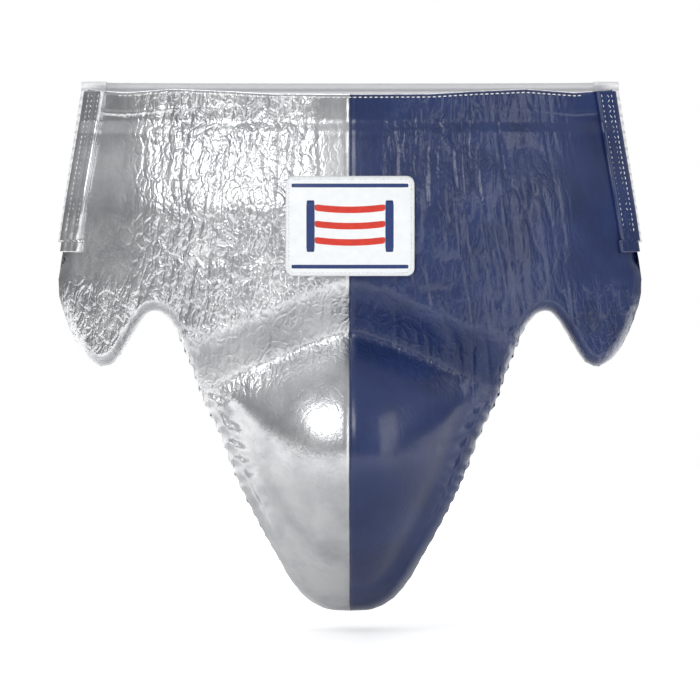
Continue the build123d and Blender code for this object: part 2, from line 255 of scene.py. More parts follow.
class PadShape:
    """Where every point of one half of the panel lies. Across and up are in millimetres."""

    def __init__(self, columns, look, seed, scallop=0.0):
        self.look, self.seed = look, seed
        lower = spline(LOWER_EDGE, columns)
        along = np.concatenate([[0], np.cumsum(np.linalg.norm(np.diff(lower[:, :2], axis=0), axis=1))])
        normal = self.normals(lower[:, :2])
        depth = -lower[:, 1]
        legs = smooth(134.0, 150.0, depth) * (1.0 - smooth(215.0, 290.0, depth)) * (lower[:, 0] < 110)
        wave = np.cos(2 * math.pi * along / PUCKER_PITCH + 5.0 * field(along / 30.0, along * 0, seed))
        lower[:, :2] += normal * (scallop * (legs + 0.25) * wave * smooth(0.0, 20.0, along))[:, None]
        lower[0, 0] = 0.0
        self.lower = lower[:, :2]
        start = np.stack([lower[:, 2], crest(lower[:, 2])], axis=1)
        self.top = start
        self.seam = np.array([(TOP_HALF, 0.0), (SEAM_HALF, -SEAM_LENGTH)])

    @staticmethod
    def normals(line):
        run = np.gradient(line, axis=0)
        out = np.stack([-run[:, 1], run[:, 0]], axis=1)
        return -out / np.maximum(np.linalg.norm(out, axis=1), 1e-9)[:, None]

    def edges(self, x, z):
        """How far in from the leg edge, the top edge and the side seam each place is."""
        x = np.abs(x)
        return nearest(x, z, self.lower[::2]), crest(x) - z, nearest(x, z, self.seam)

    def face(self, x, z):
        """Y of the leather's outer face, with rounded edges."""
        leg, top, seam = self.edges(x, z)
        depth = -z
        front, back = front_y(x, z, self.look), back_y(x, z)
        cup_edge = smooth(176.0, 200.0, depth) * (1.0 - smooth(285.0, 300.0, depth))
        front += cup_edge * (2.0 * bell(leg, 15.0, 4.5) - 1.6 * bell(leg, 6.0, 4.5))
        middle = front + 0.55 * (back - front)
        turn = dome_edge(leg, self.look.edge_roll) * dome_edge(top, 2.5) * dome_edge(seam, 2.5)
        front -= wrinkles(x, z, leg, self.seed, self.look)
        front -= 0.55 * bell(top + 0.00045 * (150 - np.abs(x)) ** 2, 12.5, 1.2) * smooth(70, 100, np.abs(x))
        front += 1.1 * bell(np.abs(x), 0.0, 1.6)
        return middle - (middle - front) * turn

    def body_side(self, x, z, wider=0.0):
        """Y of the face towards the wearer, with the cup's hollow in it."""
        leg, top, seam = self.edges(x, z)
        front, back = front_y(x, z, self.look), back_y(x, z)
        middle = front + 0.55 * (back - front)
        turn = dome_edge(leg, 7.0) * dome_edge(top, 2.5) * dome_edge(seam, 2.5)
        closed = middle + (back - middle) * turn
        floor = np.minimum(cup_inside_y(x, z) - wider, closed)
        return closed + (floor - closed) * hollow(x, z, wider)


def grid_mesh(points):
    """A mesh from a create_grid whose points are moved to an array of places in millimetres."""
    columns, rows = points.shape[:2]
    bm = bmesh.new()
    bmesh.ops.create_grid(bm, x_segments=columns - 1, y_segments=rows - 1, size=0.5)
    bm.verts.ensure_lookup_table()
    for v in bm.verts:
        i = int(round((v.co.x + 0.5) * (columns - 1)))
        j = int(round((v.co.y + 0.5) * (rows - 1)))
        v.co = points[i, j] * MM
    return bm


def finish_mesh(name, bm, materials, recalc=True):
    """Make the bmesh a smooth-shaded piece in the scene."""
    if recalc:
        bmesh.ops.recalc_face_normals(bm, faces=bm.faces)
    mesh = bpy.data.meshes.new(name)
    bm.to_mesh(mesh)
    bm.free()
    for material in materials:
        mesh.materials.append(material)
    mesh.shade_smooth()
    piece = bpy.data.objects.new(name, mesh)
    bpy.context.scene.collection.objects.link(piece)
    return piece


def face_out(bm, away):
    """Turn all faces if most of them look towards the given way instead of away from it."""
    total = sum((f.normal.dot(away) * f.calc_area() for f in bm.faces), 0.0)
    if total < 0:
        bmesh.ops.reverse_faces(bm, faces=bm.faces)


def apply_modifiers(piece):
    """Put the modifiers' result in the piece's mesh."""
    bpy.context.view_layer.update()
    graph = bpy.context.evaluated_depsgraph_get()
    mesh = bpy.data.meshes.new_from_object(piece.evaluated_get(graph))
    piece.modifiers.clear()
    piece.data = mesh
    return piece


# ---------------------------------------------------------------- materials

class Shader:
    """A material's nodes, with short ways to add and join them."""

    def __init__(self, name):
        self.material = bpy.data.materials.new(name)
        self.material.use_nodes = True
        self.nodes, self.links = self.material.node_tree.nodes, self.material.node_tree.links
        self.bsdf = self.nodes["Principled BSDF"]
        self.place = self.add("ShaderNodeTexCoord").outputs["Object"]

    def add(self, kind, **values):
        node = self.nodes.new(kind)
        for name, value in values.items():
            setattr(node, name, value)
        return node

    def link(self, source, target):
        self.links.new(source, target)

    def scaled(self, scale):
        mapping = self.add("ShaderNodeMapping")
        mapping.inputs["Scale"].default_value = scale
        self.link(self.place, mapping.inputs["Vector"])
        return mapping.outputs["Vector"]

    def noise(self, scale, size, detail=4.0, rough=0.55, distortion=0.0):
        noise = self.add("ShaderNodeTexNoise")
        noise.inputs["Scale"].default_value = size
        noise.inputs["Detail"].default_value = detail
        noise.inputs["Roughness"].default_value = rough
        noise.inputs["Distortion"].default_value = distortion
        self.link(self.scaled(scale), noise.inputs["Vector"])
        return noise.outputs["Fac"]

    def cells(self, scale, size, feature="F1"):
        cells = self.add("ShaderNodeTexVoronoi", feature=feature)
        cells.inputs["Scale"].default_value = size
        self.link(self.scaled(scale), cells.inputs["Vector"])
        return cells.outputs["Distance"]

    def crackle(self, scale, size, wander):
        """A net of thin valleys round flat islands, with wandering outlines."""
        drift = self.add("ShaderNodeTexNoise")
        drift.inputs["Scale"].default_value = 60.0
        self.link(self.place, drift.inputs["Vector"])
        centred = self.add("ShaderNodeVectorMath", operation="MULTIPLY_ADD")
        centred.inputs[1].default_value = (wander,) * 3
        self.link(drift.outputs["Color"], centred.inputs[0])
        self.link(self.place, centred.inputs[2])
        mapping = self.add("ShaderNodeMapping")
        mapping.inputs["Scale"].default_value = scale
        self.link(centred.outputs["Vector"], mapping.inputs["Vector"])
        cells = self.add("ShaderNodeTexVoronoi", feature="DISTANCE_TO_EDGE")
        cells.inputs["Scale"].default_value = size
        self.link(mapping.outputs["Vector"], cells.inputs["Vector"])
        valley_floor = self.add("ShaderNodeMapRange", interpolation_type="SMOOTHSTEP")
        valley_floor.inputs["From Max"].default_value = 0.22
        self.link(cells.outputs["Distance"], valley_floor.inputs["Value"])
        return valley_floor.outputs["Result"]

    def where_gathered(self, height):
        """The height only where the mesh's own attribute says that the leather is gathered."""
        product = self.add("ShaderNodeMath", operation="MULTIPLY")
        self.link(height, product.inputs[0])
        gathered = self.add("ShaderNodeAttribute", attribute_name="gathered")
        self.link(gathered.outputs["Fac"], product.inputs[1])
        return product.outputs["Value"]

    def bands(self, direction, size, distortion=0.3, profile="SIN"):
        wave = self.add("ShaderNodeTexWave", bands_direction=direction, wave_profile=profile)
        wave.inputs["Scale"].default_value = size
        wave.inputs["Distortion"].default_value = distortion
        wave.inputs["Detail Scale"].default_value = 3.0
        self.link(self.place, wave.inputs["Vector"])
        return wave.outputs["Fac"]

    def ramp(self, source, stops):
        ramp = self.add("ShaderNodeValToRGB")
        for element, (position, color) in zip(ramp.color_ramp.elements, stops):
            element.position = position
            element.color = (*color, 1)
        self.link(source, ramp.inputs["Fac"])
        return ramp.outputs["Color"]

    def spread(self, source, low, high):
        spread = self.add("ShaderNodeMapRange")
        spread.inputs["To Min"].default_value = low
        spread.inputs["To Max"].default_value = high
        self.link(source, spread.inputs["Value"])
        return spread.outputs["Result"]

    def relief(self, *layers):
        """Bump layers, each (height, strength, distance in metres), one on another."""
        normal = None
        for height, strength, distance in layers:
            bump = self.add("ShaderNodeBump")
            bump.inputs["Strength"].default_value = strength
            bump.inputs["Distance"].default_value = distance
            self.link(height, bump.inputs["Height"])
            if normal is not None:
                self.link(normal, bump.inputs["Normal"])
            normal = bump.outputs["Normal"]
        self.link(normal, self.bsdf.inputs["Normal"])

    def set(self, **values):
        for name, value in values.items():
            self.bsdf.inputs[name.replace("_", " ")].default_value = value
        return self.material


def leather_material(name, dark, light, metallic, rough, coat, crinkle):
    """Coated leather: fine pebbled grain, a net of hair-thin creases and slightly uneven gloss."""
    s = Shader(name)
    grain = s.cells((1, 1, 1), 900.0, "SMOOTH_F1")
    creases = s.where_gathered(s.noise((1.0, 1.0, 0.22), 260.0, 5.0, 0.6, 0.6))
    scuffs = s.noise((1, 1, 1), 38.0, 5.0, 0.6)
    crackle = s.where_gathered(s.crackle((1.0, 1.0, 0.40), 210.0, 0.012))
    fine_crackle = s.where_gathered(s.crackle((1.0, 1.0, 0.65), 430.0, 0.006))
    s.link(s.ramp(scuffs, [(0.30, dark), (0.62, light)]), s.bsdf.inputs["Base Color"])
    s.link(s.spread(s.noise((1, 1, 1), 90.0, 4.0), rough[0], rough[1]), s.bsdf.inputs["Roughness"])
    s.relief((creases, crinkle, 0.0016), (crackle, 0.9 * crinkle, 0.0009),
             (fine_crackle, 0.6 * crinkle, 0.0004), (grain, 0.16, 0.0003), (scuffs, 0.20, 0.0012))
    return s.set(Metallic=metallic, Coat_Weight=coat, Coat_Roughness=0.16)


def elastic_material(name):
    """White ribbed knit, its colour greyed in the rib valleys as painted shade."""
    s = Shader(name)
    rib = s.bands("Z", 62.0, 0.25)
    knit = s.noise((1.0, 1.0, 2.6), 900.0, 3.0)
    # painted shade: the colour goes grey where the rib wave is low, in the valleys of the rib bump
    s.link(s.ramp(rib, [(0.0, (0.66, 0.67, 0.69)), (0.6, (0.93, 0.93, 0.94))]), s.bsdf.inputs["Base Color"])
    s.relief((rib, 0.5, 0.0006), (knit, 0.45, 0.0004))
    return s.set(Roughness=0.82, Sheen_Weight=0.35, Sheen_Roughness=0.4)


def fabric_material(name, dark, light, sheen):
    """Plain woven cloth."""
    s = Shader(name)
    warp, weft = s.bands("X", 420.0, 0.6), s.bands("Z", 420.0, 0.6)
    fuzz = s.noise((1, 1, 1), 420.0, 4.0)
    s.link(s.ramp(fuzz, [(0.3, dark), (0.7, light)]), s.bsdf.inputs["Base Color"])
    s.relief((warp, 0.30, 0.0003), (weft, 0.30, 0.0003), (fuzz, 0.25, 0.0003))
    return s.set(Roughness=0.85, Sheen_Weight=sheen, Sheen_Roughness=0.5)


def print_material(name, dark, light, rough):
    """Smooth printed cloth with a faint weave."""
    s = Shader(name)
    soft = s.noise((1, 1, 1), 220.0, 3.0)
    s.link(s.ramp(soft, [(0.3, dark), (0.7, light)]), s.bsdf.inputs["Base Color"])
    s.relief((s.bands("X", 520.0, 0.4), 0.12, 0.0002), (s.bands("Z", 520.0, 0.4), 0.12, 0.0002))
    return s.set(Roughness=rough, Sheen_Weight=0.1)


def thread_material(name):
    """White twisted thread."""
    s = Shader(name)
    s.link(s.ramp(s.noise((1, 1, 1), 700.0, 3.0), [(0.3, (0.62, 0.63, 0.64)), (0.7, (0.90, 0.90, 0.89))]),
           s.bsdf.inputs["Base Color"])
    s.relief((s.noise((2.5, 1, 1), 1400.0, 2.0), 0.5, 0.0002))
    return s.set(Roughness=0.6, Sheen_Weight=0.2)


def plastic_material(name):
    """Moulded white plastic."""
    s = Shader(name)
    s.link(s.ramp(s.noise((1, 1, 1), 60.0, 3.0), [(0.3, (0.78, 0.78, 0.75)), (0.7, (0.86, 0.86, 0.84))]),
           s.bsdf.inputs["Base Color"])
    s.relief((s.noise((1, 1, 1), 500.0, 2.0), 0.1, 0.0002))
    return s.set(Roughness=0.42)


def floor_material(name):
    """Pale, and brighter away from the part so that its far side doesn't show an edge."""
    s = Shader(name)
    s.link(s.ramp(s.noise((1, 1, 1), 3.0, 3.0), [(0.3, (0.86, 0.86, 0.86)), (0.7, (0.89, 0.89, 0.89))]),
           s.bsdf.inputs["Base Color"])
    away = s.add("ShaderNodeVectorMath", operation="LENGTH")
    s.link(s.place, away.inputs[0])
    glow = s.add("ShaderNodeMapRange", interpolation_type="SMOOTHSTEP")
    glow.inputs["From Min"].default_value = 0.22
    glow.inputs["From Max"].default_value = 0.75
    s.link(away.outputs["Value"], glow.inputs["Value"])
    seen = s.add("ShaderNodeMath", operation="MULTIPLY_ADD")
    s.link(s.add("ShaderNodeLightPath").outputs["Is Camera Ray"], seen.inputs[0])
    seen.inputs[1].default_value = 0.45
    s.link(glow.outputs["Result"], seen.inputs[2])
    s.link(seen.outputs["Value"], s.bsdf.inputs["Emission Strength"])
    return s.set(Roughness=0.8, Emission_Color=(1, 1, 1, 1))


MATERIALS = {
    "leather_silver": (leather_material, (0.50, 0.51, 0.53), (0.72, 0.725, 0.73),
                       0.94, (0.24, 0.38), 0.10, 0.42),
    "leather_navy": (leather_material, (0.007, 0.018, 0.078), (0.014, 0.031, 0.118),
                     0.0, (0.27, 0.40), 0.30, 0.30),
    "lining_cloth": (fabric_material, (0.030, 0.036, 0.060), (0.060, 0.070, 0.110), 0.4),
    "webbing_white": (fabric_material, (0.78, 0.78, 0.79), (0.92, 0.92, 0.92), 0.3),
    "label_white": (print_material, (0.82, 0.85, 0.86), (0.88, 0.90, 0.91), 0.45),
    "label_navy": (print_material, (0.012, 0.032, 0.14), (0.016, 0.042, 0.17), 0.4),
    "label_red": (print_material, (0.60, 0.030, 0.014), (0.70, 0.040, 0.020), 0.4),
    "elastic_white": (elastic_material,),
    "thread_white": (thread_material,),
    "cup_plastic": (plastic_material,),
    "floor_pale": (floor_material,),
}


def get_material(name):
    """The material of that name, made the first time that it is asked for."""
    made = bpy.data.materials.get(name)
    if made is not None:
        return made
    maker, *values = MATERIALS[name]
    return maker(name, *values)


# ---------------------------------------------------------------- settings

class PROTECTOR_PG_leather(bpy.types.PropertyGroup):
    """Form of the stuffed leather"""
    belly: bpy.props.FloatProperty(name="Belly",
                                   description="How far the stuffed belly stands out, in millimetres",
                                   default=13.5, min=0.0, max=25.0)
    pad_edge: bpy.props.FloatProperty(name="Pad edge",
                                      description="Step at the top edge of the foam, in millimetres",
                                      default=3.2, min=0.0, max=8.0)
    cup: bpy.props.FloatProperty(name="Cup", description="How far the cup stands out, in millimetres",
                                 default=41.0, min=10.0, max=60.0)
    edge_roll: bpy.props.FloatProperty(name="Edge roll",
                                       description="Radius of the padded edges, in millimetres",
                                       default=7.0, min=1.0, max=15.0)
    wrinkle: bpy.props.FloatProperty(name="Wrinkles", description="Depth of the leather's wrinkles",
                                     default=1.0, min=0.0, max=3.0, subtype="FACTOR")
    scallop: bpy.props.FloatProperty(name="Scallop",
                                     description="Depth of the leg edges' puckers, in millimetres",
                                     default=0.45, min=0.0, max=3.0)


class PROTECTOR_PG_trim(bpy.types.PropertyGroup):
    """Sizes of the hems, elastic and threads"""
    hem: bpy.props.FloatProperty(name="Hem", description="Width of the hem at each side seam",
                                 default=0.0115, min=0.005, max=0.03, unit="LENGTH")
    rib: bpy.props.FloatProperty(name="Rib", description="Spacing of the elastic's ribs",
                                 default=0.0032, min=0.001, max=0.01, unit="LENGTH")
    stitch: bpy.props.FloatProperty(name="Stitch", description="Length of one stitch",
                                    default=0.0024, min=0.001, max=0.006, unit="LENGTH")


class PROTECTOR_PG_stage(bpy.types.PropertyGroup):
    """Places of the camera and floor"""
    distance: bpy.props.FloatProperty(name="Distance", description="Camera distance", default=3.0, min=0.5,
                                      unit="LENGTH", subtype="DISTANCE")
    elevation: bpy.props.FloatProperty(name="Elevation", description="Camera height as an angle",
                                       default=math.radians(2.3), unit="ROTATION", subtype="ANGLE")
    gap: bpy.props.FloatProperty(name="Gap", description="Room between the part and the floor", default=0.012,
                                 min=0.001, unit="LENGTH")


# ---------------------------------------------------------------- the pads

def pad_mesh(side, look, seed, columns, rows):
    """One stuffed half: the leather over the foam, round the edges and across the back."""
    shape = PadShape(columns, look, seed, look.scallop)
    u = np.linspace(0.0, 1.0, rows)
    t = 0.75 * 0.5 * (1.0 - np.cos(math.pi * u)) + 0.25 * u
    top, low = shape.top[:, None, :], shape.lower[:, None, :]
    flat = top + (low - top) * t[None, :, None]
    x, z = flat[..., 0], flat[..., 1]
    front = shape.face(x, z)
    back = np.maximum(shape.body_side(x, z, 2.2) - 1.2, front + 0.02)
    ends = np.zeros_like(front, bool)
    ends[-1, :] = ends[:, 0] = ends[:, -1] = True
    back[ends] = front[ends]
    ring_x = np.concatenate([x, x[:, -2::-1]], axis=1)
    ring_z = np.concatenate([z, z[:, -2::-1]], axis=1)
    ring_y = np.concatenate([front, back[:, -2::-1]], axis=1)
    points = np.stack([side * ring_x, ring_y, ring_z], axis=-1)
    closing = points[:1].copy()
    middle = 0.5 * (front[0] + back[0])
    closing[0, :, 1] = np.concatenate([middle, middle[-2::-1]])
    bm = grid_mesh(np.concatenate([closing, points]))
    bmesh.ops.remove_doubles(bm, verts=bm.verts, dist=0.00001)
    return bm


def build_pad(name, side, material, seed, nodes, look):
    """One half of the panel as a finished piece."""
    columns, rows = ((220, 150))
    pad = finish_mesh(name, pad_mesh(side, look, seed, columns, rows), [get_material(material)])
    places = np.array([v.co for v in pad.data.vertices]) / MM
    gathered = pad.data.attributes.new("gathered", "FLOAT", "POINT")
    gathered.data.foreach_set("value", gathering(places[:, 0], places[:, 2]).astype(np.float32))
    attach(pad, "front_panel")
    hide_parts(*nodes)
    return pad


def surface_patch(name, points, thickness, outward, materials):
    """A thin piece lying along a grid of points, with its own thickness towards outward."""
    bm = grid_mesh(points)
    bm.normal_update()
    face_out(bm, Vector(outward))
    piece = finish_mesh(name, bm, materials, recalc=False)
    solid = piece.modifiers.new("thickness", "SOLIDIFY")
    solid.thickness = thickness
    solid.offset = 1.0
    return apply_modifiers(piece)


class PROTECTOR_OT_pads(bpy.types.Operator):
    """Build the silver half and the navy half of the padded panel"""
    bl_idname = "protector.pads"
    bl_label = "Padded halves"
    bl_options = {"REGISTER", "UNDO"}

    def execute(self, context):
        look = context.scene.protector_leather
        shared = ("abdomen_foam", "cup_surround_foam", "cup_face_foam", "crotch_foam")
        build_pad("pad_silver", -1, "leather_silver", 11,
                  ("leather_shell_right", "hip_foam_right", *shared), look)
        build_pad("pad_navy", 1, "leather_navy", 47,
                  ("leather_shell_left", "hip_foam_left", *shared), look)
        return {"FINISHED"}


class PROTECTOR_OT_lining(bpy.types.Operator):
    """Build the cloth that lines the panel and the cup's hollow on the wearer's side"""
    bl_idname = "protector.lining"
    bl_label = "Lining"
    bl_options = {"REGISTER", "UNDO"}

    def execute(self, context):
        look = context.scene.protector_leather
        columns, rows = ((110, 100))
        shape = PadShape(columns, look, 5)
        normal = shape.normals(shape.lower)
        inset = 6.5
        low = shape.lower - normal * inset
        low[0, 0] = 0.0
        top = shape.top * [1.0 - inset / TOP_HALF, 1.0] - [0.0, inset]
        t = np.linspace(0.0, 1.0, rows)[None, :, None]
        half = top[:, None, :] + (low[:, None, :] - top[:, None, :]) * t
        x, z = half[..., 0], half[..., 1]
        quilt = 0.5 * (field(x / 14.0, z / 11.0, 3) - 0.5) * (1.0 - hollow(x, z))
        y = shape.body_side(x, z) + 0.6 + quilt
        points = np.stack([x, y, z], axis=-1)
        mirrored = points[:0:-1] * [-1.0, 1.0, 1.0]
        lining = surface_patch("lining", np.concatenate([mirrored, points]), 0.8 * MM, (0, 1, 0),
                               [get_material("lining_cloth")])
        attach(lining, "front_panel")
        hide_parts("back_lining", "cup_lining", "cup_rim_foam")
        return {"FINISHED"}


# ---------------------------------------------------------------- the elastic

BAND_TOP = 4.5
BAND_BOTTOM = -92.0
BAND_REAR = 72.0
BAND_LAP = 11.0
BAND_PROUD = 5.5
BAND_CLEARANCE = 4.8


def band_plan(z, count):
    """The elastic's path at one height, from the left seam round the back to the right seam."""
    seam = TOP_HALF + (SEAM_HALF - TOP_HALF) * max(0.0, -z) / SEAM_LENGTH
    start, reach = seam - BAND_LAP, seam + BAND_PROUD - 2.0
    start_y = float(back_y(np.array(start), np.array(z))) + BAND_CLEARANCE
    seam_y = float(back_y(np.array(seam), np.array(z))) + BAND_CLEARANCE
    low = seam_y + 16.0
    half = [(start, start_y), (seam, seam_y + 1.0), (reach, low)]
    for degrees in (30, 45, 60, 75):
        turn = math.radians(degrees)
        half.append((reach * math.cos(turn) ** 0.8, low + (BAND_REAR - 2.0 - low) * math.sin(turn)))
    whole = half + [(0.0, BAND_REAR - 2.0)] + [(-x, y) for x, y in reversed(half)]
    return spline(whole, count)


def path_normals(line):
    """Unit normals of a path seen from above, pointing away from the wearer."""
    run = np.gradient(line, axis=0)
    run /= np.linalg.norm(run, axis=1)[:, None]
    return np.stack([run[:, 1], -run[:, 0]], axis=1)


def band_surface(heights, count, lift):
    """Points on the elastic's outer face, lifted outwards."""
    rows = []
    for z, extra in zip(heights, lift):
        line = band_plan(z, count)
        line = line + path_normals(line) * extra
        rows.append(np.stack([line[:, 0], line[:, 1], np.full(count, z)], axis=1))
    return np.stack(rows, axis=1)


class PROTECTOR_OT_band(bpy.types.Operator):
    """Build the wide ribbed elastic that goes round the back"""
    bl_idname = "protector.band"
    bl_label = "Rear elastic"
    bl_options = {"REGISTER", "UNDO"}

    def execute(self, context):
        trim = context.scene.protector_trim
        ribs = round((BAND_TOP - BAND_BOTTOM) * MM / trim.rib)
        steps = 8
        heights = np.linspace(BAND_BOTTOM, BAND_TOP, ribs * steps + 1)
        phase = np.arange(len(heights)) / steps
        lift = 0.35 + 0.30 * np.abs(np.sin(math.pi * phase))
        points = band_surface(heights, 150, lift)
        gather = 0.5 * np.sin(points[..., 0] / 3.1) * smooth(10.0, 50.0, points[..., 1])
        edge = np.minimum(heights - BAND_BOTTOM, BAND_TOP - heights)
        points[..., 1] += 0.35 * gather * (0.3 + 0.7 * (1.0 - smooth(0.0, 9.0, edge)))[None, :]
        band = surface_patch("rear_elastic", points, -1.5 * MM, (0, 1, 0), [get_material("elastic_white")])
        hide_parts("rear_elastic_band")
        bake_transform(band)
        return {"FINISHED"}


STRAP_ROUTE = [(14.5, -12, -286.2), (14.5, 0.3, -295.2), (15, 14, -298.6), (18, 34, -292), (24, 54, -269),
               (35, 69, -228), (49, 75.5, -176), (62, 74.5, -128), (70.5, 70.2, -92), (73, 69.8, -75)]
STRAP_WIDTH = 26.0
STRAP_CANT = 0.085


def strap_points(side, count, across):
    """Points over one leg strap, and the length of its route, in millimetres."""
    line = spline(STRAP_ROUTE, count)
    part = np.linspace(0.0, 1.0, count)
    wide = np.stack([np.ones(count), np.zeros(count), -STRAP_CANT * part ** 2], axis=1)
    places = []
    for k in np.linspace(-0.5, 0.5, across):
        ridge = 0.22 * math.cos(k * 2 * math.pi * 4)
        places.append(line + wide * STRAP_WIDTH * k + np.array([0.0, ridge, 0.0]))
    points = np.stack(places, axis=1)
    return points * [side, 1.0, 1.0], float(np.linalg.norm(np.diff(line, axis=0), axis=1).sum())


class PROTECTOR_OT_straps(bpy.types.Operator):
    """Build the two leg straps and the tabs that sew them to the rear elastic"""
    bl_idname = "protector.straps"
    bl_label = "Leg straps"
    bl_options = {"REGISTER", "UNDO"}

    def execute(self, context):
        for side, name in ((-1, "right"), (1, "left")):
            points, length = strap_points(side, 130, 25)
            strap = surface_patch("strap_" + name, points, 1.5 * MM, (0, 0.3, -1),
                                  [get_material("webbing_white")])
            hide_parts("leg_strap_" + name)
            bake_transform(strap)
        for node in ("strap_tab_right", "strap_tab_left"):
            paint_node(node, "leather_navy")
        paint_node("strap_anchor", "leather_navy")
        return {"FINISHED"}


def paint_node(node, material):
    """Give a CAD solid that shows as it is its finish."""
    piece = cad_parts[node]
    piece.data.materials.clear()
    piece.data.materials.append(get_material(material))


# ---------------------------------------------------------------- trim

SEAM_OUT = 0.9            # the hem and its threads start this far outside the seam
HEM_SPAN = (-1.2, -97.0)
HEM_SUNK = 1.4            # its edges are this far under the leather's calm face
HEM_RISE = 3.2            # and its middle rises this much from there
HEM_ROUND = 1.6
THREAD_RADIUS = 0.42
THREAD_PITCH = 3.1
OVER_HEM = 3.1            # how far a thread on the hem stands off the leather's calm face
LABEL_HALF = (37.5, 29.0)
LABEL_CENTRE = -80.5
LABEL_CORNER = 4.5


def seam_across(z):
    """How far from the middle the side seam is at a height."""
    return TOP_HALF + (SEAM_HALF - TOP_HALF) * -z / SEAM_LENGTH


class PROTECTOR_OT_hems(bpy.types.Operator):
    """Build the folded hems at the two side seams"""
    bl_idname = "protector.hems"
    bl_label = "Side hems"
    bl_options = {"REGISTER", "UNDO"}

    def execute(self, context):
        look, width = context.scene.protector_leather, context.scene.protector_trim.hem / MM
        down, over = ((150, 40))
        for side, name, material, slot in ((-1, "right", "leather_silver", "silver_leather"),
                                           (1, "left", "leather_navy", "navy_leather")):
            z = np.linspace(*HEM_SPAN, down)[:, None] * np.ones((1, over))
            seam = seam_across(z)
            k = np.linspace(0.0, 1.0, over)[None, :] * np.ones((down, 1))
            x = seam - np.where(z < -SEAM_LENGTH, 1.2, 0.0) + SEAM_OUT - k * width
            edge = np.minimum(k, 1.0 - k) * width
            round_over = dome_edge(edge, HEM_ROUND)
            puff = 0.35 * np.sin(k * math.pi * 3) ** 2 + 0.28 * (field(z / 5.0, k * 4.0, 8) - 0.5)
            y = front_y(x, z, look) + HEM_SUNK - round_over * (HEM_RISE + puff)
            hem = surface_patch("hem_" + name, np.stack([side * x, y, z], axis=-1), 1.0 * MM, (0, -1, 0),
                                [get_material(material)])
            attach(hem, "front_panel")
            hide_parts("side_hem_" + name)
        return {"FINISHED"}


def label_patch(name, middle, half, corner, lift, thickness, material, look, bow=0.0, grid=(40, 30)):
    """A thin rounded rectangle of print lying on the leather."""
    u = np.linspace(-1.0, 1.0, grid[0])[:, None] * np.ones((1, grid[1]))
    v = np.linspace(-1.0, 1.0, grid[1])[None, :] * np.ones((grid[0], 1))
    x, z = u * half[0], v * half[1]
    over_x, over_z = np.maximum(np.abs(x) - half[0] + corner, 0), np.maximum(np.abs(z) - half[1] + corner, 0)
    reach = np.maximum(np.maximum(over_x, over_z), 1e-6)
    pull = reach / np.maximum(np.sqrt(over_x ** 2 + over_z ** 2), 1e-6)
    pull = np.where((over_x > 0) & (over_z > 0), pull, 1.0)
    x = np.sign(x) * (np.minimum(np.abs(x), half[0] - corner) + over_x * pull)
    z = np.sign(z) * (np.minimum(np.abs(z), half[1] - corner) + over_z * pull)
    z = z + bow * (x / half[0]) ** 2
    x, z = x + middle[0], z + middle[1]
    y = front_y(x, z, look) - 1.1 * smooth(0, 1, bell(x, 0, 60)) - lift
    points = np.stack([x, y, z], axis=-1)
    return surface_patch(name, points, thickness * MM, (0, -1, 0), [get_material(material)])


class PROTECTOR_OT_label(bpy.types.Operator):
    """Build the sewn white label with its striped border and plain ring-ropes emblem"""
    bl_idname = "protector.label"
    bl_label = "Label"
    bl_options = {"REGISTER", "UNDO"}

    def execute(self, context):
        look = context.scene.protector_leather
        base = label_patch("label", (0, LABEL_CENTRE), LABEL_HALF, LABEL_CORNER, 0.5, 0.6,
                           "label_white", look)
        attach(base, "front_panel")
        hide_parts("label_patch")
        marks = [("stripe_top", (0, LABEL_CENTRE + 23.6), (34.0, 1.1), 0.3, "label_navy", 0.0),
                 ("stripe_bottom", (0, LABEL_CENTRE - 23.6), (34.0, 1.1), 0.3, "label_navy", 0.0)]
        for k in (-1, 0, 1):
            marks.append((f"rope_{k + 2}", (0, LABEL_CENTRE + 9.5 * k), (20.5, 1.9), 1.2, "label_red", 1.4))
        marks += [("post_right", (-23.0, LABEL_CENTRE), (2.4, 15.0), 1.0, "label_navy", 0.0),
                  ("post_left", (23.0, LABEL_CENTRE), (2.4, 15.0), 1.0, "label_navy", 0.0)]
        for name, middle, half, corner, material, bow in marks:
            mark = label_patch("print_" + name, middle, half, corner, 1.02, 0.16, material, look,
                               bow, (30, 12))
            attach(mark, "front_panel")
        return {"FINISHED"}


# ---------------------------------------------------------------- stitches

def stitch_mesh(bm, start, end, radius):
    """One thread between two points, sunk a little at its ends."""
    start, end = Vector(start) * MM, Vector(end) * MM
    run = end - start
    made = bmesh.ops.create_icosphere(bm, subdivisions=1, radius=1.0)
    turn = run.to_track_quat("X", "Z").to_matrix()
    size = Matrix.Diagonal((run.length / 2, radius * MM, radius * MM))
    for v in made["verts"]:
        v.co = turn @ (size @ v.co) + (start + end) / 2


def stitch_path(bm, line, lift, look, length, pitch, radius, zigzag=0.0):
    """Stitches along (x, z) points, lying on the leather's calm face."""
    line = np.array(line, float)
    run = np.concatenate([[0], np.cumsum(np.linalg.norm(np.diff(line, axis=0), axis=1))])
    count = int(run[-1] / pitch)
    for i in range(count):
        ends = []
        for j, s in enumerate((i * pitch + 0.5 * (pitch - length), i * pitch + 0.5 * (pitch + length))):
            x, z = np.interp(s, run, line[:, 0]), np.interp(s, run, line[:, 1])
            x = x + zigzag * (1 if (i + j) % 2 else -1)
            ends.append((x, float(front_y(np.array(x), np.array(z), look)) - lift, z))
        stitch_mesh(bm, ends[0], ends[1], radius)


